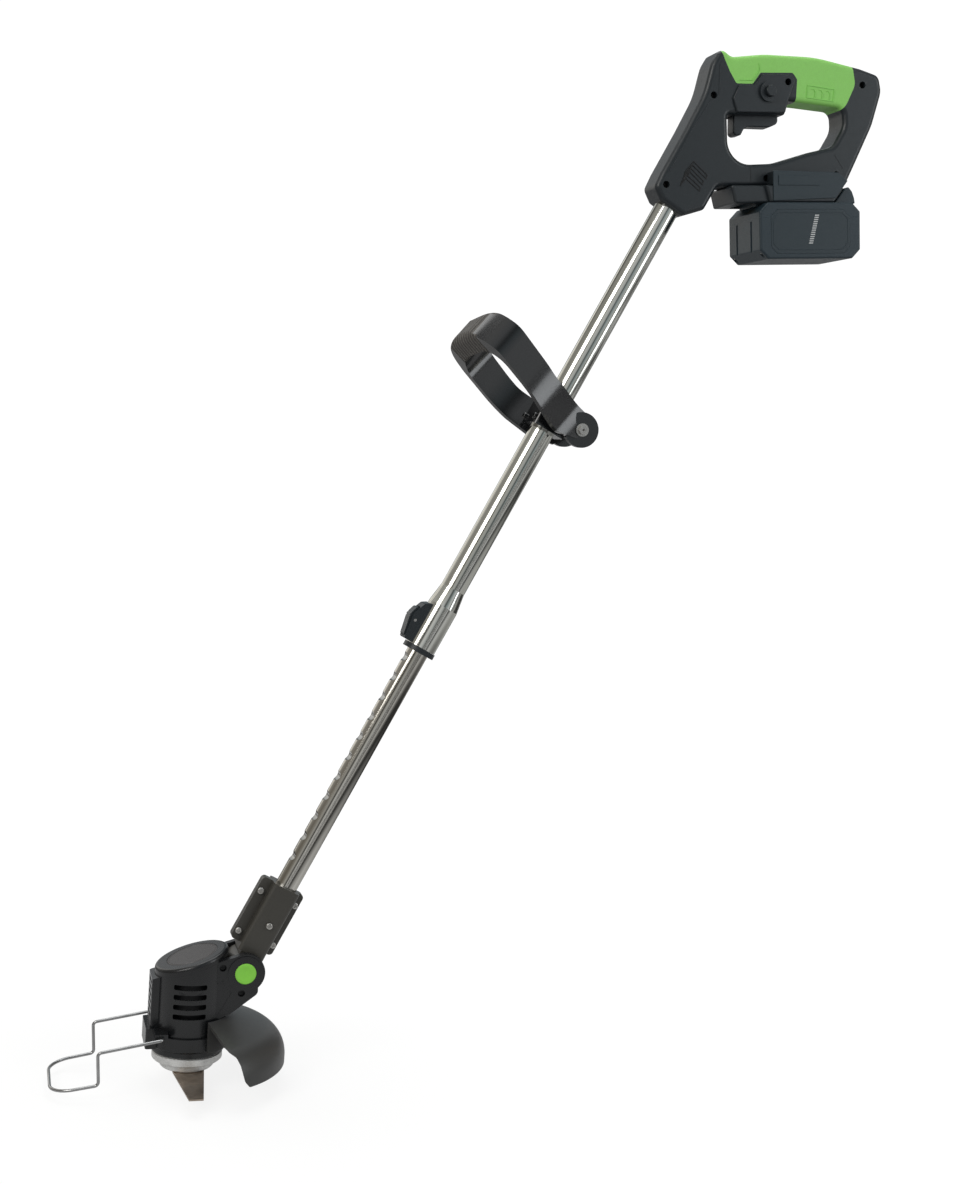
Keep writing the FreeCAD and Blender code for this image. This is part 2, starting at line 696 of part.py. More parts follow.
# Side view of what is trimmed off the guard's two flanks
guard_trim = [(-60, 57.9, 0), (19, 57.9, 0), (28, 56.5, 6), (37, 51, 8), (41, 44, 8), (43.5, 36, 8),
              (45.5, 29.5, 6), (50, 23.6, 4), (56, 21, 4), (60, 10, 0), (-60, 10, 0)]


def make_guards():
    inner = base_r + 0.2
    knee = guard_top_z - guard_fall
    roof_low = guard_top_z - 1.3 * guard_wall
    dome = [(inner, guard_top_z, 0), (guard_r, knee, guard_round), (guard_r, guard_rim_z, 0),
            (guard_r - guard_wall, guard_rim_z, 0),
            (guard_r - guard_wall, knee - 0.8 * guard_wall, guard_round - guard_wall), (inner, roof_low, 0)]
    collar = [(inner, roof_low + 1, 0), (inner + guard_wall, roof_low + 1, 0),
              (inner + guard_wall, base_bottom + 1, 0), (inner, base_bottom + 1, 0)]
    sweeps = []
    for profile in (dome, collar):
        face = Part.Face(outline(profile))
        face.rotate(Vector(), Z_AXIS, -guard_half_angle)
        sweeps.append(face.revolve(Vector(), Z_AXIS, 2 * guard_half_angle))
    guard = fuse([sweeps[0].cut(plate(guard_trim, -120, 120)), sweeps[1]])
    screws = []
    ways = []
    for angle in (-28, 28):
        out = Vector(math.cos(math.radians(angle)), math.sin(math.radians(angle)), 0)
        at = out * (inner + guard_wall) + Vector(0, 0, base_bottom + 7.5)
        ways.append(rod(case_screw_r + seat_gap, at - out * 12, at + out))
        screws.append(screw(at + out * 0.1, out * -1, case_screw_r, 11, case_head_r, 2.0))
    keep("debris_guard", cut(guard, *ways))
    keep("head_screws", group(head_fixings + screws))
    nodes["base_flange"] = cut(nodes["base_flange"], *ways)

    drop_top = wire_hinge_z - wire_fall
    loop_z = blade_base - 0.5
    tip_z = loop_z - 7.0
    side = [(wire_hinge_x, wire_half_width - 11, wire_hinge_z, 0),
            (wire_hinge_x, wire_half_width, wire_hinge_z, 3),
            (-wire_reach, wire_half_width, drop_top, 4), (-wire_reach + 2, wire_half_width, loop_z, 4),
            (-wire_tip + wire_r, wire_half_width - 2, tip_z, 22)]
    route = side + [(x, -y, z, r) for x, y, z, r in reversed(side)]
    path = rounded([Vector(x, y, z) for x, y, z, _ in route], [r for _, _, _, r in route], False)
    start = path.Vertexes[0].Point
    section = Part.Wire(Part.makeCircle(wire_r, start, Y_AXIS))
    keep("wire_guard", path.makePipeShell([section], True, False))


# ---------------------------------------------------------------- assist handle
def make_assist_handle():
    half_len = 17.0
    inner_half = assist_ear_in - 1.6
    bore = rod_x(upper_r + running, 0, 2000)
    bolt_way = rod_y(assist_bolt_r + running, assist_u, assist_v, -60, 60)
    lug_r = 11.0
    upper = soften(slab(assist_u - half_len, assist_u + half_len, inner_half, 0.3, upper_r + 5),
                   4.0, lambda e: e.BoundBox.XLength > 20 and e.BoundBox.ZMin > upper_r)
    lower = slab(assist_u - half_len, assist_u + half_len, inner_half, -upper_r - 4, -0.3)
    lug = fuse([rod_y(lug_r, assist_u, assist_v, -inner_half, inner_half),
                slab(assist_u - lug_r, assist_u + lug_r, inner_half, assist_v, -upper_r)])
    clamp_screws = [(assist_u + du, y) for du in (-10.5, 10.5) for y in (-16.8, 16.8)]
    ways = [rod(screw_r + seat_gap, Vector(u, y, -30), Vector(u, y, 40)) for u, y in clamp_screws]
    keep("assist_clamp_upper", cut(upper, bore, *ways), SHAFT)
    keep("assist_clamp_lower", cut(fuse([lower, lug]), bore, bolt_way, *ways), SHAFT)
    screws = [screw(Vector(u, y, upper_r + 5.1), Z_AXIS * -1, screw_r, 2 * upper_r, screw_head_r,
                    screw_head_height)
              for u, y in clamp_screws]
    washers = []
    for side in (-1, 1):
        y0, y1 = sorted((side * (inner_half + 0.1), side * (assist_ear_in - 0.3)))
        washers.append(cut(rod_y(lug_r, assist_u, assist_v, y0, y1), bolt_way))
    keep("assist_fasteners", group(screws + washers), SHAFT)

    foot = assist_ear_out - 0.6
    band = [(-foot, -2, 0), (-foot, 14, 50), (-loop_half_width, 62, 90), (-loop_half_width, loop_height, 38),
            (loop_half_width, loop_height, 38), (loop_half_width, 62, 90), (foot, 14, 50), (foot, -2, 0)]
    inner_half_width = loop_half_width - loop_strap
    inner_foot = foot - loop_strap
    roof = loop_height - loop_bar
    band += [(inner_foot, -2, 0), (inner_foot, 16, 50), (inner_half_width, 64, 90),
             (inner_half_width, roof, 26),
             (-inner_half_width, roof, 26), (-inner_half_width, 64, 90), (-inner_foot, 16, 50),
             (-inner_foot, -2, 0)]
    strap = in_frame(LOOP_FRONT, plate(band, -60, 60))
    side = [(12, -4, 0), (8, 30, 30), (6, 60, 60), (14, 120, 60), (14, loop_height + 1, 11),
            (-20, loop_height + 1, 11), (-20, 120, 40), (-26, 50, 60), (-26, 20, 20), (-14, -4, 0)]
    profile = in_frame(LOOP_SKEW, plate(side, -90, 90))
    loop = strap.common(profile)
    ears = []
    for hand in (-1, 1):
        y0, y1 = sorted((hand * assist_ear_in, hand * assist_ear_out))
        ears.append(rod_y(assist_ear_r, assist_u, assist_v, y0, y1))
    ears = in_frame(SHAFT, group(ears))
    between = in_frame(LOOP, slab(-60, 60, assist_ear_in, -30, 44))
    bolt_hole = in_frame(SHAFT, rod_y(assist_bolt_r + seat_gap, assist_u, assist_v, -60, 60))
    head_room = in_frame(SHAFT, rod_y(8.0, assist_u, assist_v, -60, -assist_ear_out))
    knob_room = in_frame(SHAFT, rod_y(knob_r + 1.5, assist_u, assist_v, assist_ear_out, 60))
    loop = cut(fuse([loop, ears]), between, bolt_hole, head_room, knob_room)
    grip_half = 33.0
    sleeve = 3.0
    zone = in_frame(LOOP_FRONT, box(-grip_half, grip_half, -60, 60, roof - 8, loop_height + 8))
    core = in_frame(LOOP_FRONT, box(-grip_half - 1, grip_half + 1, -14 + sleeve, 20 - sleeve,
                                    roof + sleeve, loop_height - sleeve))
    keep("assist_loop", loop.cut(zone.cut(core)))
    keep("assist_grip", loop.common(zone).cut(core))

    bolt = rod_y(assist_bolt_r, 0, 0, -assist_ear_out - 0.1, assist_ear_out + 11)
    head = rod_y(6.5, 0, 0, -assist_ear_out - 2.0, -assist_ear_out - 0.1)
    hex_head = hexagon(8.0, 3.0, Vector(), 1.2)
    hex_head.Placement = Placement(Vector(0, -assist_ear_out - 2.0, 0), Rotation(Z_AXIS, Y_AXIS * -1))
    keep("assist_bolt", fuse([bolt, head, hex_head]),
         SHAFT.multiply(Placement(Vector(assist_u, 0, assist_v), Rotation())))
    knob_base = assist_ear_out + slide_gap
    knob = rod_y(knob_r - 2, 0, 0, knob_base, knob_base + knob_height)
    lobes = []
    for k in range(6):
        angle = math.radians(60 * k)
        lobes.append(rod_y(3.6, (knob_r - 3.4) * math.cos(angle), (knob_r - 3.4) * math.sin(angle),
                           knob_base + 4, knob_base + knob_height - 1))
    knob = cut(fuse([knob] + lobes), rod_y(assist_bolt_r + running, 0, 0, knob_base - 1,
                                           assist_ear_out + 11.5))
    keep("assist_knob", knob, SHAFT.multiply(Placement(Vector(assist_u, 0, assist_v), Rotation())))


# ---------------------------------------------------------------- rear handle
handle_outline = [(-11.5, 8.5, 6), (-17.5, 22, 7), (-10, 36, 14), (17, 79, 150), (37, 113, 80), (46, 143, 30),
                  (56, 158, 7), (68, 149, 10), (103, 152.5, 120), (160, 151, 150), (211, 140.5, 40),
                  (232, 134, 9), (235, 118, 20), (224, 84, 60), (204, 45, 14), (192, 22, 10), (50, 22, 7),
                  (35, -1, 6), (11.5, -7, 6)]
loop_outline = [(62, 93, 3), (62.5, 43, 24), (110, 45, 40), (150, 56, 60), (178, 62, 12),
                (191, 82, 20), (190, 101, 9), (150, 105, 100), (127, 107, 4), (126, 93, 3)]
cover_region = [(50, 170, 0), (59.4, 146.2, 3), (64.6, 134.5, 3), (71.6, 122.8, 3), (89.5, 122.8, 3),
                (98, 133.8, 3), (133.7, 134.4, 3), (138.5, 128, 3), (136, 96, 0), (176, 88, 0),
                (193.4, 103.6, 20), (203.7, 124, 14), (200, 148, 0), (200, 170, 0)]
panel_outline = [(67, 108, 4), (74, 121.4, 3), (90.2, 121.4, 3), (99.6, 132.4, 3), (130.4, 132.4, 3),
                 (136, 127, 3), (128, 108, 4), (124, 94.5, 2), (71, 94.5, 2)]
case_screws_at = [(47.0, 111.0), (-6.0, 23.5), (127.5, 125.0), (212.0, 124.0), (103.0, 30.0), (181.0, 34.0)]
trigger_pivot = (77.0, 101.0)
lockoff_at = (106.0, 115.0)
trigger_roof = 110.8
tube_rise = Vector(math.cos(math.radians(handle_angle)), 0, math.sin(math.radians(handle_angle)))


def inset_plate(corners, inset, half):
    face = Part.Face(outline(corners)).makeOffset2D(-inset)
    face.translate(Vector(0, -half, 0))
    return face.extrude(Vector(0, 2 * half, 0))


def handle_body(inset, rounding):
    """The handle's outer form, or its form a wall's thickness further in."""
    half = shell_half_width - inset
    solid = inset_plate(handle_outline, inset, half)
    hole = inset_plate(loop_outline, -inset, half + 1)
    solid = solid.cut(hole)
    if rounding > 0:
        solid = soften(solid, rounding, lambda e: on_side(e, half))
    return solid


def make_rear_handle():
    outer = handle_body(0.0, shell_round)
    cavity = handle_body(shell_wall, 0.0)
    under_cover = handle_body(cover_thick, shell_round - cover_thick)
    covers = outer.cut(under_cover).common(plate(cover_region, -60, 60))
    for name, side in (("grip_cover_left", -1), ("grip_cover_right", 1)):
        keep(name, covers.common(half_space(side)), HANDLE)

    panel_half = shell_half_width + panel_proud
    panel = plate(panel_outline, -panel_half, panel_half)
    panel = soften(panel, 1.4, lambda e: on_side(e, panel_half))
    boss = rod_y(10.3, lockoff_at[0], lockoff_at[1], -panel_half - 2.6, 0)
    tube_outer = tube_rise * socket_depth
    tube_bore = rod(upper_r + seat_gap, tube_rise * -20, tube_rise * (socket_depth + 1))
    posts = [rod_y(screw_post_r, x, z, -60, 60) for x, z in case_screws_at]
    sleeve = rod(upper_r + shell_wall, tube_rise * -20, tube_rise * (socket_depth + 4))
    hollow = cut(cavity, group(posts), sleeve)
    body = fuse([outer, panel, boss])
    slot = box(71.2, 123, -trigger_half_width - slide_gap, trigger_half_width + slide_gap, 80, trigger_roof)
    switch_room = box(80, 124, -8, 13, trigger_roof, 130)
    lockoff_way = rod_y(lockoff_r + slide_gap, lockoff_at[0], lockoff_at[1], -60, 0)
    hinge = rod_y(2.0 + running, trigger_pivot[0], trigger_pivot[1], -13, 13)
    ways = []
    for x, z in case_screws_at:
        ways.append(rod_y(case_screw_r + seat_gap, x, z, -60, 12))
        ways.append(rod_y(case_head_r + 0.4, x, z, -60, -shell_half_width + handle_screw_depth))
    body = cut(body, hollow, tube_bore, slot, switch_room, lockoff_way, hinge, covers, *ways)
    for name, side in (("handle_shell_left", -1), ("handle_shell_right", 1)):
        keep(name, body.common(half_space(side)), HANDLE)
    seat_y = -shell_half_width + handle_screw_depth - seat_gap
    keep("handle_screws", group([screw(Vector(x, seat_y, z), Y_AXIS, case_screw_r, 20, case_head_r, 2.0)
                                 for x, z in case_screws_at]), HANDLE)

    x, z = trigger_pivot
    lever = [(73, 105, 3), (121.5, 103.5, 2), (121.5, 86, 5), (112, 82, 8), (85, 82.5, 8), (80.5, 74, 2),
             (72, 73, 4), (72.6, 92, 20)]
    lever = plate(lever, -trigger_half_width, trigger_half_width)
    lever = soften(lever, 1.6, lambda e: on_side(e, trigger_half_width) and e.BoundBox.ZMin < 90)
    keep("trigger", cut(lever, rod_y(2.0 + running, x, z, -20, 20)), HANDLE)
    hinge_pins.append(in_frame(HANDLE, rod_y(2.0 - 0.02, x, z, -12.5, 12.5)))
    keep("hinge_pins", group(hinge_pins))
    small_springs.append(in_frame(HANDLE, coil(2.6, 0.3, 2.8, 2.5, Vector(115, 0, 107.9), Z_AXIS)))
    keep("switch_body", box(82, 122, -7.6, 12.6, trigger_roof + 0.3, 129.6), HANDLE)

    x, z = lockoff_at
    outer_end = -panel_half - 2.6 - lockoff_travel - 0.8
    cap = rod_y(lockoff_r, x, z, outer_end, outer_end + 8)
    cap = soften(cap, 0.9, lambda e: e.BoundBox.YMax < outer_end + 0.01 and e.BoundBox.XLength > 5)
    stem = rod_y(2.4, x, z, outer_end + 8, -12.2)
    keep("lock_off_button", fuse([cap, stem]), HANDLE)
    spring_base = Vector(x, outer_end + 8.3 + lockoff_travel, z)
    small_springs.append(in_frame(HANDLE, coil(3.6, 0.5, 5.0, 3, spring_base, Y_AXIS)))
    keep("button_springs", group(small_springs))
    keep("control_board", fuse([slab(110, 158, 12, 29, 30.6), slab(116, 136, 8, 30.6, 36)]), HANDLE)


# ---------------------------------------------------------------- battery and its mount
mount_bottom = battery_top + slide_gap
mount_top = 21.9
slot_low = battery_top + rail_lip
rail_start = battery_x + 4.0
rail_end = battery_x + 88.0
contact_y = 8.0


def make_battery_mount():
    nose = plate([(60, mount_top, 2), (64, mount_bottom, 2), (110, mount_bottom, 0), (110, mount_top, 0)],
                 -27.5, 27.5)
    nose = soften(nose, 2.5, lambda e: on_side(e, 27.5))
    side = [(96, mount_top, 0), (101, mount_bottom, 2), (172, mount_bottom, 4), (186, mount_top, 3)]
    block = plate(side, -31, 31)
    block = fuse([nose, soften(block, 2.5, lambda e: on_side(e, 31))])
    stem_slot = slab(battery_x - 8, 220, rail_stem + slide_gap, 0, slot_low)
    head_slot = slab(battery_x - 8, 220, rail_half + slide_gap, slot_low,
                     battery_top + rail_height + slide_gap)
    cable_way = slab(100, 118, 6, 10, 40)
    keep("battery_mount", cut(block, stem_slot, head_slot, cable_way), HANDLE)
    foot_x = battery_x - 7.8
    foot = slab(foot_x, battery_x, rail_stem - 1, slot_low + 0.3, battery_top + rail_height)
    blades = [box(battery_x, battery_x + 12, y - 0.4, y + 0.4, slot_low + 1.2, battery_top + rail_height - 1)
              for y in (-contact_y, contact_y)]
    keep("terminal_block", fuse([foot] + blades), HANDLE)


def battery_form(inset):
    x0, x1 = battery_x + inset, battery_x + battery_length - inset
    z0, z1 = battery_top - battery_height + inset, battery_top - inset
    bevel = battery_bevel - 0.6 * inset
    corners = [(x0, z0 + bevel, 0), (x0, z1 - bevel, 0), (x0 + bevel, z1, 0), (x1 - bevel, z1, 0),
               (x1, z1 - bevel, 0), (x1, z0 + bevel, 0), (x1 - bevel, z0, 0), (x0 + bevel, z0, 0)]
    half = battery_width / 2 - inset
    return plate(corners, -half, half)


def make_battery():
    half = battery_width / 2
    split = battery_top - split_drop
    low = battery_top - battery_height
    rear = battery_x + battery_length
    case = soften(battery_form(0), 2.2, lambda e: True)
    for x in (battery_x, rear):
        for y in (-half, half):
            groove = slab(x - 0.9, x + 0.9, 2.0, low + 8, split - 2)
            groove.translate(Vector(0, y * 0.45, 0))
            case = case.cut(groove)
    panel = [(battery_x + 12, low + 12, 0), (battery_x + 12, battery_top - 14, 0),
             (battery_x + 19, battery_top - 7, 0),
             (rear - 19, battery_top - 7, 0), (rear - 12, battery_top - 14, 0), (rear - 12, low + 12, 0),
             (rear - 19, low + 5, 0), (battery_x + 19, low + 5, 0)]
    seats = [plate(panel, -half - 1, -half + 1.2), plate(panel, half - 1.2, half + 1)]
    button_bay = slab(rear - 9, rear + 20, release_width + 0.4, low + 27, split + 14)
    stem = slab(rail_start, rail_end, rail_stem, battery_top - 2, battery_top + rail_height)
    rail = slab(rail_start, rail_end, rail_half, slot_low + slide_gap + 0.1, battery_top + rail_height)
    contact_slots = [box(rail_start - 1, rail_start + 10, y - 0.9, y + 0.9, slot_low + 0.8, 40)
                     for y in (-contact_y, contact_y)]
    case = cut(fuse([case, stem, rail]), battery_form(battery_wall), button_bay, *(contact_slots + seats))
    above = box(0, 400, -100, 100, split + 0.05, 100)
    below = box(0, 400, -100, 100, -200, split - 0.05)
    screws_at = [(x, y) for x in (battery_x + 5.4, rear - 5.4) for y in (-half + 6, half - 6)]
    seat_z = low + 7.2
    ways = [rod_z(pack_screw_r + seat_gap, low - 1, seat_z + pack_screw_len + 0.8, x, y) for x,
            y in screws_at]
    heads = [rod_z(pack_head_r + 0.3, low - 1, seat_z, x, y) for x, y in screws_at]
    posts = [rod_z(2.9, low, battery_top - 1, x, y) for x, y in screws_at]
    bosses = [rod_z(3.7, low, seat_z + 1.2, x, y) for x, y in screws_at]
    inner = group(posts + bosses).common(battery_form(1.0))
    whole = fuse([case] + inner.Solids)
    keep("battery_case_upper", cut(whole.common(above), *ways), HANDLE)
    keep("battery_case_lower", cut(whole.common(below), *(ways + heads)), HANDLE)
    fixings = [screw(Vector(x, y, seat_z - 0.1), Z_AXIS, pack_screw_r, pack_screw_len, pack_head_r, 1.6)
               for x, y in screws_at]
    plates = []
    for side in (-1, 1):
        y0, y1 = sorted((side * (half - 1.15), side * (half + 0.2)))
        face = Part.Face(outline(panel)).makeOffset2D(-0.25)
        face.translate(Vector(0, y0, 0))
        plates.append(face.extrude(Vector(0, y1 - y0, 0)))
    keep("battery_side_panels", group(plates), HANDLE)

    first_x = battery_x + 18.0
    first_z = low + battery_wall + cell_r + 0.6
    cells = [rod_y(cell_r, first_x + i * cell_pitch, first_z + j * cell_pitch, -cell_length / 2,
                   cell_length / 2)
             for i in range(cell_columns) for j in range(cell_rows)]
    keep("battery_cells", group(cells), HANDLE)
    board_z = first_z + cell_pitch * (cell_rows - 1) + cell_r + 0.8
    keep("battery_board", slab(battery_x + 16, rear - 24, 26, board_z, board_z + 1.6), HANDLE)

    bay_low, bay_high = low + 27, split + 14
    button_low = bay_low + release_drop + 0.4
    body = [(rear - 6, button_low, 0), (rear + 7, button_low + 1.6, 3), (rear + 9.5, bay_low + 11, 4),
            (rear + 7.5, bay_high - 1.5, 4), (rear - 6, bay_high - 0.4, 0)]
    button = plate(body, -release_width, release_width)
    button = soften(button, 1.5, lambda e: on_side(e, release_width) and e.BoundBox.XMin > rear - 5)
    spring_pocket = rod_z(3.4, bay_low, button_low + release_drop, rear - 2, 0)
    grips = [slab(rear + 5, rear + 20, 12, bay_low + 9 + 3.4 * k, bay_low + 10.6 + 3.4 * k) for k in range(3)]
    grips = [grip.cut(plate([(x - 1.0, z, 0) for x, z, _ in body], -30, 30)) for grip in grips]
    keep("battery_release", cut(button, spring_pocket, *grips), HANDLE)
    fixings.append(coil(2.4, 0.4, 3.4, 3, Vector(rear - 2, 0, bay_low + 0.1), Z_AXIS))
    keep("battery_fixings", group(fixings), HANDLE)


make_tubes()
make_tube_lock()
make_neck()
make_blade_stack()
make_motor()
make_housing()
make_tilt_joint()
make_base()
make_guards()
make_assist_handle()
make_rear_handle()
make_battery_mount()
make_battery()

os.makedirs("parts", exist_ok=True)
for name, shape in nodes.items():
    shape.exportStep("parts/" + name + ".step")
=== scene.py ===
import json
import math

import bmesh
import bpy
from mathutils import Matrix, Vector


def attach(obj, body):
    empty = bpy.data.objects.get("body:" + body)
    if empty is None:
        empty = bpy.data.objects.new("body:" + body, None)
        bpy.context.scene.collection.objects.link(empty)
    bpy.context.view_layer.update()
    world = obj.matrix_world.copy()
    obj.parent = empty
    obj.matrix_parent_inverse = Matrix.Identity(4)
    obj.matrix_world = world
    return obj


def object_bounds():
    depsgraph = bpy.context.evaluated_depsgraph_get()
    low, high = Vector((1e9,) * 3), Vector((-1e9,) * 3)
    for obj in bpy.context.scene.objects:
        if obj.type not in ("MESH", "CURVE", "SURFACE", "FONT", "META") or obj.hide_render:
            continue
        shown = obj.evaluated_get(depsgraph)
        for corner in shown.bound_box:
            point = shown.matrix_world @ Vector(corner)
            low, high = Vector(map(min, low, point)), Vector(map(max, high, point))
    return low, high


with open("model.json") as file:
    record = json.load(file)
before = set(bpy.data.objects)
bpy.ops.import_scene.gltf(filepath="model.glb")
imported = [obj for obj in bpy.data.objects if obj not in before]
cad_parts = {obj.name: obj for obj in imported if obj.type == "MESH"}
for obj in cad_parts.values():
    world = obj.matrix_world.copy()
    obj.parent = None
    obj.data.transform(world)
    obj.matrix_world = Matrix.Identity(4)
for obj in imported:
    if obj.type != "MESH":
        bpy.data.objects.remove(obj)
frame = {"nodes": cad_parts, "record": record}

cad_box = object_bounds()
scene = bpy.context.scene
MM = 0.001

# ---------------------------------------------------------------- frames and faces of the CAD model, mm
SHAFT_ANGLE = math.radians(63.5)
HANDLE_ANGLE = math.radians(57.5)
PIVOT = Vector((49.0, 0.0, 115.0)) * MM
SOCKET_U = 861.0 * MM
ASSIST_SKEW = math.radians(9.5)
BASE_TOP = 54.5
HOUSING_HEIGHT = 61.8
HOUSING_RADIUS = 35.0
CAP_SLOPE = math.radians(17.0)
CAP_CENTRE = Vector((0.0, 0.0, BASE_TOP + HOUSING_HEIGHT + HOUSING_RADIUS * math.tan(CAP_SLOPE))) * MM
SHELL_FACE = 18.0
MOUNT_FACE = 31.0
PACK_FACE = 37.5
ARM_FACE = 27.0
SIDES = ((-1, "left"), (1, "right"))


def turned(origin, angle):
    """A frame whose X axis rises by angle from level in the plane of symmetry."""
    return Matrix.Translation(origin) @ Matrix.Rotation(-angle, 4, "Y")


HEAD = Matrix.Identity(4)
SHAFT = turned(PIVOT, SHAFT_ANGLE)
HANDLE = turned(SHAFT @ Vector((SOCKET_U, 0, 0)), SHAFT_ANGLE - HANDLE_ANGLE)
CAP = turned(CAP_CENTRE, CAP_SLOPE)


# ---------------------------------------------------------------- node helpers
def srgb(r, g, b):
    """Linear colour from 8-bit sRGB numbers."""
    def linear(c):
        c /= 255.0
        return c / 12.92 if c <= 0.04045 else ((c + 0.055) / 1.055) ** 2.4
    return (linear(r), linear(g), linear(b), 1.0)


def shade(colour, factor):
    """The colour made lighter or darker."""
    return tuple(min(1.0, c * factor) for c in colour[:3]) + (1.0,)


class Graph:
    """The node tree of a material or a world, with short calls for the nodes used here."""

    def __init__(self, owner, shader="Principled BSDF", coords="Object"):
        owner.use_nodes = True
        self.owner = owner
        self.tree = owner.node_tree
        self.shader = self.tree.nodes[shader]
        self.coords = self.add("ShaderNodeTexCoord").outputs[coords]

    def add(self, kind, **values):
        node = self.tree.nodes.new(kind)
        for key, value in values.items():
            setattr(node, key, value)
        return node

    def link(self, source, target):
        """Feed a socket from another one, or set it to a number or colour."""
        if isinstance(source, (int, float, tuple)):
            target.default_value = source
        else:
            self.tree.links.new(source, target)

    def set(self, **sockets):
        for key, value in sockets.items():
            self.link(value, self.shader.inputs[key.replace("_", " ")])

    def mapped(self, scale, rotation=(0.0, 0.0, 0.0)):
        """The coordinates, turned first and stretched after."""
        turn = self.add("ShaderNodeMapping")
        turn.inputs["Rotation"].default_value = rotation
        self.link(self.coords, turn.inputs["Vector"])
        stretch = self.add("ShaderNodeMapping")
        stretch.inputs["Scale"].default_value = scale
        self.link(turn.outputs["Vector"], stretch.inputs["Vector"])
        return stretch.outputs["Vector"]

    def parts(self, vector):
        node = self.add("ShaderNodeSeparateXYZ")
        self.link(vector, node.inputs["Vector"])
        return node.outputs

    def noise(self, scale, detail=2.0, rough=0.5, coords=None):
        node = self.add("ShaderNodeTexNoise")
        node.inputs["Scale"].default_value = scale
        node.inputs["Detail"].default_value = detail
        node.inputs["Roughness"].default_value = rough
        self.link(coords or self.coords, node.inputs["Vector"])
        return node.outputs["Fac"]

    def cells(self, scale):
        node = self.add("ShaderNodeTexVoronoi")
        node.inputs["Scale"].default_value = scale
        self.link(self.coords, node.inputs["Vector"])
        return node.outputs["Distance"]

    def span(self, value, low, high, to_low=0.0, to_high=1.0):
        """The value carried from low..high to to_low..to_high, held at the ends."""
        node = self.add("ShaderNodeMapRange")
        self.link(value, node.inputs["Value"])
        for name, number in (("From Min", low), ("From Max", high), ("To Min", to_low), ("To Max", to_high)):
            self.link(number, node.inputs[name])
        return node.outputs["Result"]

    def math(self, operation, *values):
        node = self.add("ShaderNodeMath", operation=operation)
        for socket, value in zip(node.inputs, values):
            self.link(value, socket)
        return node.outputs[0]

    def mix(self, factor, a, b):
        node = self.add("ShaderNodeMix", data_type="RGBA")
        self.link(factor, node.inputs["Factor"])
        self.link(a, node.inputs[6])
        self.link(b, node.inputs[7])
        return node.outputs[2]

    def bump(self, height, distance, strength=1.0, below=None):
        node = self.add("ShaderNodeBump")
        node.inputs["Strength"].default_value = strength
        node.inputs["Distance"].default_value = distance
        self.link(height, node.inputs["Height"])
        if below is not None:
            self.link(below, node.inputs["Normal"])
        return node.outputs["Normal"]

    def edges(self, radius):
        """1 on worn outer edges, 0 on flat ground."""
        soft = self.add("ShaderNodeBevel", samples=4)
        soft.inputs["Radius"].default_value = radius
        flat = self.add("ShaderNodeNewGeometry").outputs["Normal"]
        dot = self.add("ShaderNodeVectorMath", operation="DOT_PRODUCT")
        self.link(soft.outputs["Normal"], dot.inputs[0])
        self.link(flat, dot.inputs[1])
        full_wear = 1.0 - 1.0 / 12.0
        return self.span(dot.outputs["Value"], 1.0, full_wear)


# ---------------------------------------------------------------- materials
def plastic(name, colour, low, high, grain=0.00005, specular=0.5, coat=0.0):
    """Moulded plastic: fine spark-eroded grain, an even tone and paler worn edges."""
    g = Graph(bpy.data.materials.new(name))
    fine = g.noise(2600.0, 3.0, 0.65)
    tone = g.mix(g.span(fine, 0.3, 0.7), shade(colour, 0.92), shade(colour, 1.08))
    rub = g.math("MULTIPLY", g.edges(0.0009), g.span(g.noise(240.0, 3.0), 0.35, 0.65, 0.25, 1.0))
    smooth = g.span(g.noise(900.0, 4.0, 0.6), 0.3, 0.7, low, high)
    g.set(Base_Color=g.mix(g.math("MULTIPLY", rub, 0.55), tone, shade(colour, 1.9)),
          Roughness=g.math("SUBTRACT", smooth, g.math("MULTIPLY", rub, 0.08)),
          Normal=g.bump(fine, grain, 0.6),
          Specular_IOR_Level=specular)
    if coat:
        g.set(Coat_Weight=coat, Coat_Roughness=0.08)
    return g.owner


def rubber(name, colour, rib_pitch=0.0):
    """Soft overmould: satin, with a very fine eggshell grain. Ribs, if any, ring the bar, and painted shade
    darkens the grooves between them; without them the edges are slightly dusty."""
    g = Graph(bpy.data.materials.new(name))
    tone = g.mix(g.span(g.noise(700.0, 4.0, 0.6), 0.3, 0.7), shade(colour, 0.96), shade(colour, 1.04))
    grain = g.bump(g.cells(1700.0), 0.00005, 0.5)
    if rib_pitch:
        across = g.parts(g.mapped((1.0, 1.0, 1.0), (0.0, 0.0, -ASSIST_SKEW)))["Y"]
        ridge = g.span(g.math("SINE", g.math("MULTIPLY", across, 2 * math.pi / rib_pitch)), -0.2, 0.4)
        grain = g.bump(ridge, 0.0008, 1.0, grain)
        # painted shade: the grooves between the ribs are darkened towards 0.3 of the colour
        tone = g.mix(ridge, shade(colour, 0.3), tone)
    else:
        tone = g.mix(g.math("MULTIPLY", g.edges(0.0008), 0.35), tone, shade(colour, 1.12))
    g.set(Base_Color=tone,
          Roughness=g.span(g.noise(160.0, 4.0, 0.6), 0.3, 0.7, 0.5, 0.68),
          Normal=grain,
          Sheen_Weight=0.08)
    return g.owner


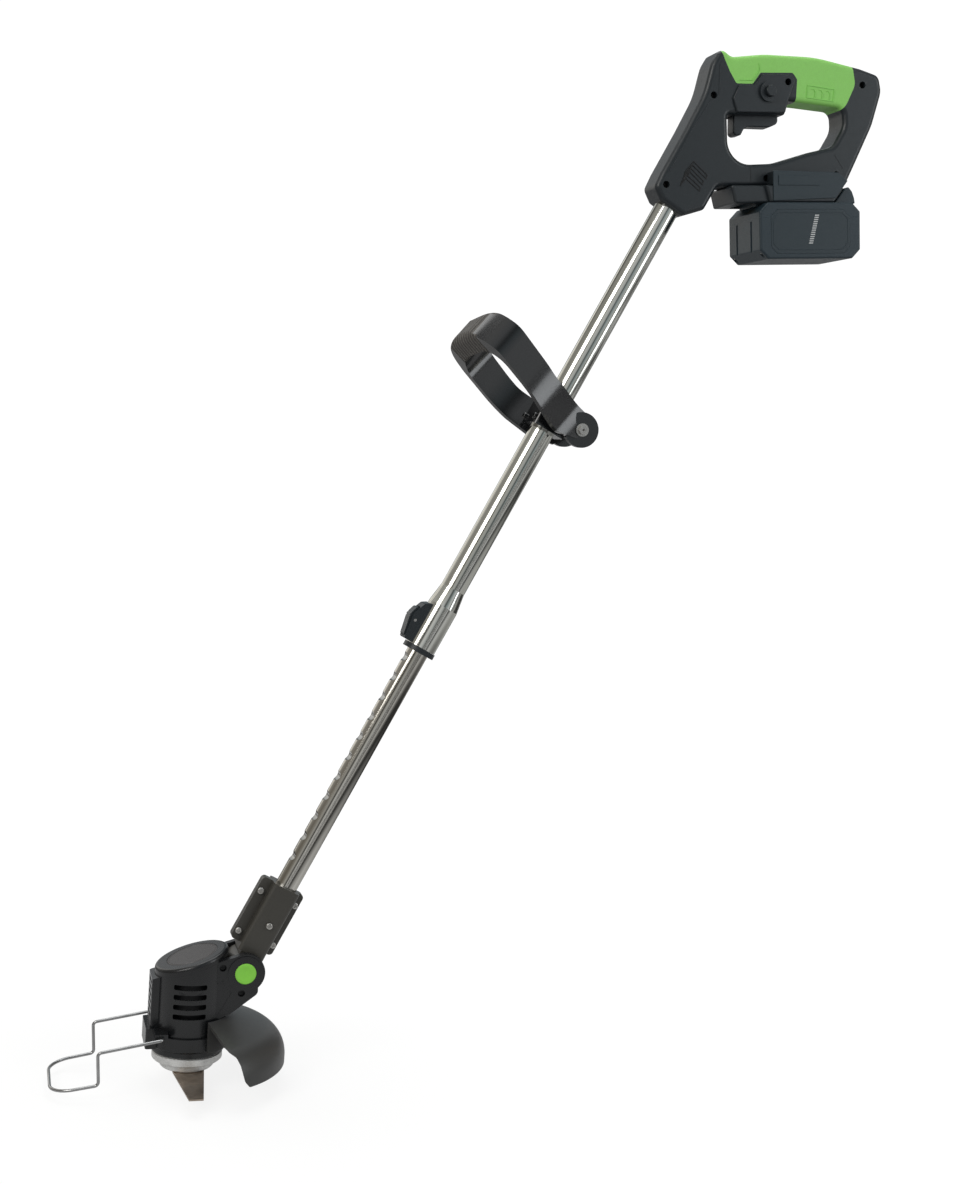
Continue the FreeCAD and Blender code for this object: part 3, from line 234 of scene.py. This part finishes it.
def drawn_tube(name, light, dark, rough):
    """Bright drawn stainless tube: fine die lines along the shaft, a soft change of tone and small scuffs."""
    g = Graph(bpy.data.materials.new(name))
    along = (0.0, SHAFT_ANGLE, 0.0)
    lines = g.noise(1.0, 3.0, 0.6, g.mapped((3.0, 1500.0, 1500.0), along))
    broad = g.noise(1.0, 2.0, 0.5, g.mapped((1.5, 150.0, 150.0), along))
    scuff = g.noise(1.0, 5.0, 0.7, g.mapped((60.0, 380.0, 380.0), along))
    tone = g.mix(g.span(broad, 0.35, 0.65), dark, light)
    uneven = g.math("ADD", lines, g.math("MULTIPLY", scuff, 0.5))
    g.set(Base_Color=g.mix(g.span(scuff, 0.62, 0.8, 0.0, 0.35), tone, shade(dark, 0.6)),
          Metallic=1.0,
          Roughness=g.span(uneven, 0.5, 1.1, rough, rough + 0.09),
          Normal=g.bump(lines, 0.00001, 0.25))
    return g.owner


def metal(name, colour, low, high, speck, speck_scale, depth, stretch=(1.0, 1.0, 1.0), bare=1.0):
    """Machined, cast or plated metal, with specks or brushing and scuffs."""
    g = Graph(bpy.data.materials.new(name))
    coords = g.mapped(stretch)
    grain = g.noise(speck_scale, 3.0, 0.6, coords)
    blot = g.noise(90.0, 4.0, 0.65)
    tone = g.mix(g.span(blot, 0.3, 0.7), shade(colour, 0.8), shade(colour, 1.1))
    g.set(Base_Color=g.mix(g.span(grain, 0.5, 0.72, 0.0, speck), tone, shade(colour, 1.5)),
          Metallic=bare,
          Roughness=g.span(g.noise(300.0, 4.0, 0.6, coords), 0.3, 0.7, low, high),
          Normal=g.bump(grain, depth, 0.6))
    return g.owner


def ink(name, colour):
    """Printed or dull moulded marks."""
    g = Graph(bpy.data.materials.new(name))
    g.set(Base_Color=g.mix(g.span(g.noise(900.0, 3.0), 0.35, 0.7), shade(colour, 0.75), colour),
          Roughness=g.span(g.noise(500.0), 0.3, 0.7, 0.45, 0.65),
          Normal=g.bump(g.noise(2400.0), 0.00002, 0.4))
    return g.owner


shell_black = plastic("shell_black", srgb(31, 37, 41), 0.3, 0.44)
panel_black = plastic("panel_black", srgb(31, 45, 52), 0.36, 0.5)
battery_black = plastic("battery_black", srgb(31, 46, 54), 0.36, 0.5)
head_black = plastic("head_black", srgb(22, 23, 25), 0.2, 0.32, grain=0.00003)
guard_black = plastic("guard_black", srgb(56, 56, 55), 0.34, 0.46)
neck_black = plastic("neck_black", srgb(64, 62, 57), 0.3, 0.44)
loop_black = plastic("loop_black", srgb(18, 19, 21), 0.13, 0.2, grain=0.00001, specular=0.7, coat=0.25)
inner_black = plastic("inner_black", srgb(22, 23, 25), 0.5, 0.65)
grip_green = rubber("grip_green", srgb(144, 212, 104))
grip_grey = rubber("grip_grey", srgb(84, 79, 73), rib_pitch=0.0056)
lead_black = rubber("lead_black", srgb(28, 28, 29))
button_green = rubber("button_green", srgb(138, 216, 74))
tube_steel = drawn_tube("tube_steel", srgb(218, 219, 214), srgb(176, 176, 168), 0.06)
tube_lower = drawn_tube("tube_lower", srgb(206, 204, 198), srgb(150, 146, 136), 0.07)
hub_silver = metal("hub_silver", srgb(226, 226, 224), 0.32, 0.5, 0.6, 1100.0, 0.0001, bare=0.55)
blade_steel = metal("blade_steel", srgb(182, 168, 154), 0.3, 0.5, 0.25, 500.0, 0.00005, (0.15, 1.0, 1.0))
wire_bright = metal("wire_bright", srgb(168, 168, 168), 0.12, 0.24, 0.1, 1500.0, 0.00001)
screw_zinc = metal("screw_zinc", srgb(190, 188, 184), 0.22, 0.4, 0.2, 1800.0, 0.00002)
spring_wire = metal("spring_wire", srgb(150, 148, 146), 0.25, 0.4, 0.1, 1500.0, 0.00001)
brass = metal("brass", srgb(196, 164, 92), 0.25, 0.45, 0.2, 1500.0, 0.00001)
motor_steel = metal("motor_steel", srgb(150, 150, 152), 0.3, 0.5, 0.2, 1200.0, 0.00002)
board_green = plastic("board_green", srgb(30, 88, 58), 0.3, 0.45)
cell_blue = plastic("cell_blue", srgb(58, 112, 156), 0.25, 0.4, grain=0.00001)
mark_white = ink("mark_white", srgb(206, 208, 208))
mark_dark = ink("mark_dark", srgb(16, 17, 19))
label_dark = plastic("label_dark", srgb(46, 40, 38), 0.22, 0.34, grain=0.00001, specular=0.6)

BY_SLOT = {
    "black_shell": shell_black, "grip_green": grip_green, "button_green": button_green,
    "head_plastic": head_black, "battery_plastic": battery_black, "battery_panel": panel_black,
    "stainless": tube_steel, "hub_silver": hub_silver, "blade_steel": blade_steel,
    "wire_chrome": wire_bright, "screw_steel": screw_zinc, "grip_grey": grip_grey,
    "loop_plastic": loop_black, "spring_steel": spring_wire, "brass_contacts": brass,
    "circuit_board": board_green, "cell_wrap": cell_blue, "motor_steel": motor_steel,
    "lead_sheath": lead_black,
}
BY_NODE = {
    "debris_guard": guard_black, "neck_clamp_left": neck_black, "neck_clamp_right": neck_black,
    "lower_tube": tube_lower, "guide_bush": inner_black, "switch_body": inner_black,
    "handle_screws": inner_black, "head_screws": inner_black, "assist_fasteners": loop_black,
    "motor_stator": inner_black, "motor_end_bell": inner_black,
}
for entry in frame["record"]["subparts"]:
    node = frame["nodes"][entry["node"]]
    chosen = BY_NODE.get(entry["node"], BY_SLOT[entry["material_slot"]])
    if not node.material_slots:
        node.data.materials.append(chosen)
    for place in node.material_slots:
        place.material = chosen


# ---------------------------------------------------------------- mesh helpers, sizes in mm
def finish_piece(name, bm, place, body, material, bevel=0.0):
    """The drawn faces as an object that rides a body, with its edges softened by bevel."""
    bmesh.ops.recalc_face_normals(bm, faces=bm.faces)
    mesh = bpy.data.meshes.new(name)
    bm.to_mesh(mesh)
    bm.free()
    mesh.transform(place)
    mesh.materials.append(material)
    obj = bpy.data.objects.new(name, mesh)
    scene.collection.objects.link(obj)
    if bevel > 0:
        softened = obj.modifiers.new("bevel", "BEVEL")
        softened.width = bevel * MM
        softened.segments = 2
        softened.limit_method = "ANGLE"
    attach(obj, body)


def prisms(name, outlines, y_base, y_top, place, body, material, bevel):
    """One piece of flat plates: each outline of (x, z), from y_base out to y_top."""
    bm = bmesh.new()
    for outline in outlines:
        low = [bm.verts.new(Vector((x, y_base, z)) * MM) for x, z in outline]
        top = [bm.verts.new(Vector((x, y_top, z)) * MM) for x, z in outline]
        bm.faces.new(low)
        bm.faces.new(reversed(top))
        for i in range(len(outline)):
            j = (i + 1) % len(outline)
            bm.faces.new((low[i], top[i], top[j], low[j]))
    finish_piece(name, bm, place, body, material, bevel)


def ribbon(points, width, closed):
    """The mitred outline of a strip of that width along the points."""
    sharpest = 0.35
    count = len(points)
    left, right = [], []
    for i, point in enumerate(points):
        here = Vector(point)
        runs = []
        if closed or i < count - 1:
            runs.append((Vector(points[(i + 1) % count]) - here).normalized())
        if closed or i > 0:
            runs.append((here - Vector(points[i - 1])).normalized())
        normals = [Vector((-d.y, d.x)) for d in runs]
        across = sum(normals, Vector((0.0, 0.0))).normalized()
        across *= width / 2 / max(sharpest, across.dot(normals[0]))
        left.append(here + across)
        right.append(here - across)
    return left, right


def strips(name, lines, width, y_base, y_top, place, body, material, closed, bevel):
    """One piece of raised lines."""
    quads = []
    for line in lines:
        left, right = ribbon(line, width, closed)
        steps = range(len(line)) if closed else range(len(line) - 1)
        for i in steps:
            j = (i + 1) % len(line)
            quads.append([tuple(left[i]), tuple(left[j]), tuple(right[j]), tuple(right[i])])
    prisms(name, quads, y_base, y_top, place, body, material, bevel)


def arc(cx, cz, r, start, end, steps):
    angles = [math.radians(start + (end - start) * k / steps) for k in range(steps + 1)]
    return [(cx + r * math.cos(a), cz + r * math.sin(a)) for a in angles]


def disc(name, radius, thickness, groove_r, groove_depth, place, body, material):
    """A shallow turned disc with one fine ring groove, in the local XY plane."""
    floor_z = thickness - groove_depth
    profile = [(groove_r - 0.25, thickness), (groove_r - 0.1, floor_z), (groove_r + 0.1, floor_z),
               (groove_r + 0.25, thickness), (radius - 0.4, thickness), (radius, thickness - 0.4),
               (radius, 0.0)]
    bm = bmesh.new()
    steps = 96
    angles = [2 * math.pi * k / steps for k in range(steps)]
    centre = bm.verts.new((0, 0, thickness * MM))
    loops = [[bm.verts.new((r * math.cos(t) * MM, r * math.sin(t) * MM, z * MM)) for t in angles]
             for r, z in profile]
    for k in range(steps):
        bm.faces.new((centre, loops[0][k], loops[0][(k + 1) % steps]))
    for low, high in zip(loops, loops[1:]):
        for k in range(steps):
            j = (k + 1) % steps
            bm.faces.new((low[k], high[k], high[j], low[j]))
    bm.faces.new(reversed(loops[-1]))
    finish_piece(name, bm, place, body, material)


# ---------------------------------------------------------------- rear handle details
CHEVRON_DROP = Vector((-1.2, -3.4))
chevrons = []
for tips in (((14.6, 36.2), (23.9, 45.8), (38.0, 32.8)),
             ((12.6, 30.4), (20.9, 39.2), (33.9, 26.8)),
             ((10.4, 26.0), (16.0, 33.0), (30.5, 20.5))):
    outer = [Vector(tip) for tip in tips]
    chevrons.append([tuple(p) for p in outer] + [tuple(p + CHEVRON_DROP) for p in reversed(outer)])

teeth = []
for k in range(3):
    x, z = 154.5 + 8.2 * k, 118.9 - 0.9 * k
    teeth.append([(x, z), (x + 2.6, z - 0.4), (x + 4.2, z - 3.4), (x + 3.2, z - 8.2)])

seams = [[(85.8, 26.0), (85.8, 40.5)], [(179.6, 54.0), (189.0, 40.0)]]
ridges = [[(52.6, 112.0), (53.4, 128.0), (54.6, 142.0)], [(-2.6, 36.0), (22.0, 76.0), (45.0, 108.0)]]
window = [[(150.0, 122.4), (180.0, 118.8), (178.2, 107.0), (148.4, 110.4)]]
tongue = [[(96.5, 142.6), (97.0, 137.0), (89.4, 126.2), (74.5, 126.4)]]
SHELL_SINK = 0.5
# name, lines, width, rise above the face, material, slot, closed, bevel
handle_marks = (
    ("chevrons", chevrons, 1.0, 0.6, mark_dark, "black_shell", True, 0.2),
    ("shell_seams", seams, 0.5, 0.15, mark_dark, "black_shell", False, 0.0),
    ("column_ridge", ridges, 0.9, 0.35, shell_black, "black_shell", False, 0.12),
    ("grip_window", window, 0.55, 0.7, grip_green, "grip_green", True, 0.12),
    ("grip_marks", teeth, 0.7, 0.7, grip_green, "grip_green", False, 0.12),
    ("grip_tongue", tongue, 0.6, 0.7, grip_green, "grip_green", False, 0.12),
)
shoulder = [(104.0, 22.2), (104.0, 35.6), (176.0, 34.0), (186.0, 26.0), (184.0, 22.2)]
cheek = [(104.0, 36.0), (176.0, 34.4), (187.0, 26.0), (173.5, 9.0), (104.0, 6.0)]
lozenge = [(109.5, 31.2), (144.5, 31.2), (155.5, 21.4), (109.5, 21.4)]
# name, outline, from y, to y, material, bevel
mount_plates = (
    ("mount_shoulder", shoulder, SHELL_FACE - SHELL_SINK, MOUNT_FACE, shell_black, 0.8),
    ("mount_cheek", cheek, MOUNT_FACE - 0.1, MOUNT_FACE + 0.9, panel_black, 0.5),
    ("mount_lozenge", lozenge, MOUNT_FACE + 0.8, MOUNT_FACE + 1.6, panel_black, 0.35),
)
for side, hand in SIDES:
    for name, lines, width, rise, material, slot, closed, bevel in handle_marks:
        strips(name + "_" + hand, lines, width, (SHELL_FACE - SHELL_SINK) * side, (SHELL_FACE + rise) * side,
               HANDLE, "rear_handle", material, closed, bevel)
    for name, outline, start, end, material, bevel in mount_plates:
        prisms(name + "_" + hand, [outline], start * side, end * side, HANDLE, "rear_handle", material,
               bevel)

# ---------------------------------------------------------------- battery details
gauge = []
for k in range(14):
    x, z = 149.2 - 0.5332 * k, -8.4 - 2.12 * k
    gauge.append([(x - 2.3, z), (x + 2.3, z), (x + 1.9, z - 1.15), (x - 2.7, z - 1.15)])
rim = [[(100.6, -36.5), (100.6, -12.5), (107.0, -6.2), (177.0, -6.2), (183.4, -12.5), (183.4, -36.5),
        (177.0, -43.0), (107.0, -43.0)]]
for side, hand in SIDES:
    prisms("battery_gauge_" + hand, gauge, (PACK_FACE + 0.1) * side, (PACK_FACE + 0.28) * side, HANDLE,
           "battery", mark_white, 0.0)
    strips("battery_rim_" + hand, rim, 0.7, PACK_FACE * side, (PACK_FACE + 0.5) * side, HANDLE, "battery",
           panel_black, True, 0.2)

hump = [(175.5, 4.3), (188.0, 20.0), (192.5, 21.0), (196.2, 16.6), (198.7, 10.0), (199.6, 4.3)]
prisms("battery_hump", [hump], -24.0, 24.0, HANDLE, "battery", battery_black, 1.2)

# ---------------------------------------------------------------- motor head details
CAP_SINK = 1.15 * MM
disc("cap_disc", 24.9, 1.1, 23.0, 0.2, CAP @ Matrix.Translation((0, 0, -CAP_SINK)), "motor_head", label_dark)

fin = [[(19.0, 103.0), (27.5, 108.5)] + arc(49.0, 115.0, 22.5, 197, 236, 6) + [(24.0, 74.0)]]
for side, hand in SIDES:
    strips("arm_lines_" + hand, fin, 0.8, (ARM_FACE - 0.6) * side, (ARM_FACE + 0.35) * side, HEAD,
           "motor_head", head_black, False, 0.15)

# ---------------------------------------------------------------- camera
FRAME_WIDTH = 971.0
FOCAL_LENGTH = 1650.0
SENSOR_WIDTH = 36.0
camera = bpy.data.objects.new("camera", bpy.data.cameras.new("camera"))
camera.data.sensor_fit = "HORIZONTAL"
camera.data.sensor_width = SENSOR_WIDTH
camera.data.lens = SENSOR_WIDTH * FOCAL_LENGTH / FRAME_WIDTH
camera.data.clip_end = 100.0
right = Vector((0.95804, -0.27842, 0.06797))
up = Vector((-0.04109, 0.10124, 0.99401))
forward = Vector((0.28363, 0.95511, -0.08554))
turn = Matrix((right, up, -forward)).transposed().to_4x4()
camera.matrix_world = Matrix.Translation((-0.1962, -1.5759, 0.6335)) @ turn
scene.collection.objects.link(camera)
scene.camera = camera

# ---------------------------------------------------------------- light
WHITE = (1.0, 1.0, 1.0, 1.0)
MIDDLE = Vector((0.30, 0.0, 0.50))


def softbox(name, where, width, height, power, colour=WHITE[:3]):
    light = bpy.data.lights.new(name, "AREA")
    light.shape = "RECTANGLE"
    light.size, light.size_y = width, height
    light.energy = power
    light.color = colour
    obj = bpy.data.objects.new(name, light)
    obj.location = where
    obj.rotation_euler = (MIDDLE - Vector(where)).to_track_quat("-Z", "Y").to_euler()
    scene.collection.objects.link(obj)


softbox("key", (-1.7, -1.6, 2.1), 1.4, 1.4, 30.0, (1.0, 0.985, 0.96))
softbox("fill", (2.2, -1.5, 1.2), 0.8, 2.0, 15.0, (0.93, 0.97, 1.0))
softbox("top", (0.2, 0.6, 2.8), 2.0, 2.0, 26.0)
softbox("back", (-1.2, 2.2, 1.4), 1.4, 1.8, 5.5, (1.0, 0.95, 0.87))

# The camera sees white; the object is lit by a dimmer room with upright light and dark bands.
SEEN_WHITE = 1.05
ROOM_LIGHT = 0.75
world = bpy.data.worlds.new("studio")
scene.world = world
room = Graph(world, "Background", "Generated")
bands = room.add("ShaderNodeValToRGB")
room.link(room.math("MULTIPLY_ADD", room.parts(room.coords)["X"], 0.5, 0.5), bands.inputs["Fac"])
stops = (
    (0.0, (0.30, 0.27, 0.23)), (0.14, (0.62, 0.61, 0.58)), (0.24, (0.05, 0.05, 0.05)),
    (0.33, (0.9, 0.9, 0.88)), (0.46, (0.75, 0.78, 0.80)), (0.54, (0.10, 0.11, 0.11)),
    (0.62, (0.45, 0.53, 0.56)), (0.76, (0.85, 0.87, 0.88)), (0.84, (0.06, 0.055, 0.05)),
    (0.93, (0.42, 0.36, 0.30)), (1.0, (0.6, 0.6, 0.58)),
)
while len(bands.color_ramp.elements) < len(stops):
    bands.color_ramp.elements.new(0.5)
for element, (place, colour) in zip(bands.color_ramp.elements, stops):
    element.position = place
    element.color = colour + (1.0,)
seen = room.add("ShaderNodeLightPath").outputs["Is Camera Ray"]
room.set(Color=room.mix(seen, bands.outputs["Color"], WHITE),
         Strength=room.span(seen, 0.0, 1.0, ROOM_LIGHT, SEEN_WHITE))

# Close to the object the floor keeps a faint shadow; further out it fades into the white behind. Rays from
# the object see it in rings of light and dark.
FLOOR_HALF = 30
floor_mesh = bpy.data.meshes.new("floor")
corners = [(x * FLOOR_HALF, y * FLOOR_HALF, 0) for x, y in ((-1, -1), (1, -1), (1, 1), (-1, 1))]
floor_mesh.from_pydata(corners, [], [(0, 1, 2, 3)])
floor = bpy.data.objects.new("floor", floor_mesh)
floor.location = (0, 0, cad_box[0][2] - 0.0005)
scene.collection.objects.link(floor)
ground = Graph(bpy.data.materials.new("floor_pale"))
ground.set(Base_Color=ground.mix(ground.noise(3.0, 3.0), (0.86, 0.86, 0.85, 1.0), (0.90, 0.90, 0.89, 1.0)),
           Roughness=0.85,
           Specular_IOR_Level=0.2)
glow = ground.add("ShaderNodeEmission")
ground.link(WHITE, glow.inputs["Color"])
floor_seen = ground.add("ShaderNodeLightPath").outputs["Is Camera Ray"]
reach = ground.add("ShaderNodeVectorMath", operation="LENGTH")
ground.link(ground.coords, reach.inputs[0])
distance = reach.outputs["Value"]
rings = ground.span(ground.math("SINE", ground.math("MULTIPLY", distance, 5.5)), -1.0, 1.0, 0.04, 0.62)
ground.link(ground.math("MAXIMUM", rings, ground.math("MULTIPLY", floor_seen, SEEN_WHITE)),
            glow.inputs["Strength"])
blend = ground.add("ShaderNodeMixShader")
ground.link(ground.span(distance, 0.15, 0.7, 0.8, 1.0), blend.inputs["Fac"])
ground.link(ground.shader.outputs["BSDF"], blend.inputs[1])
ground.link(glow.outputs["Emission"], blend.inputs[2])
ground.link(blend.outputs["Shader"], ground.tree.nodes["Material Output"].inputs["Surface"])
floor_mesh.materials.append(ground.owner)
scene.view_settings.view_transform = "Standard"
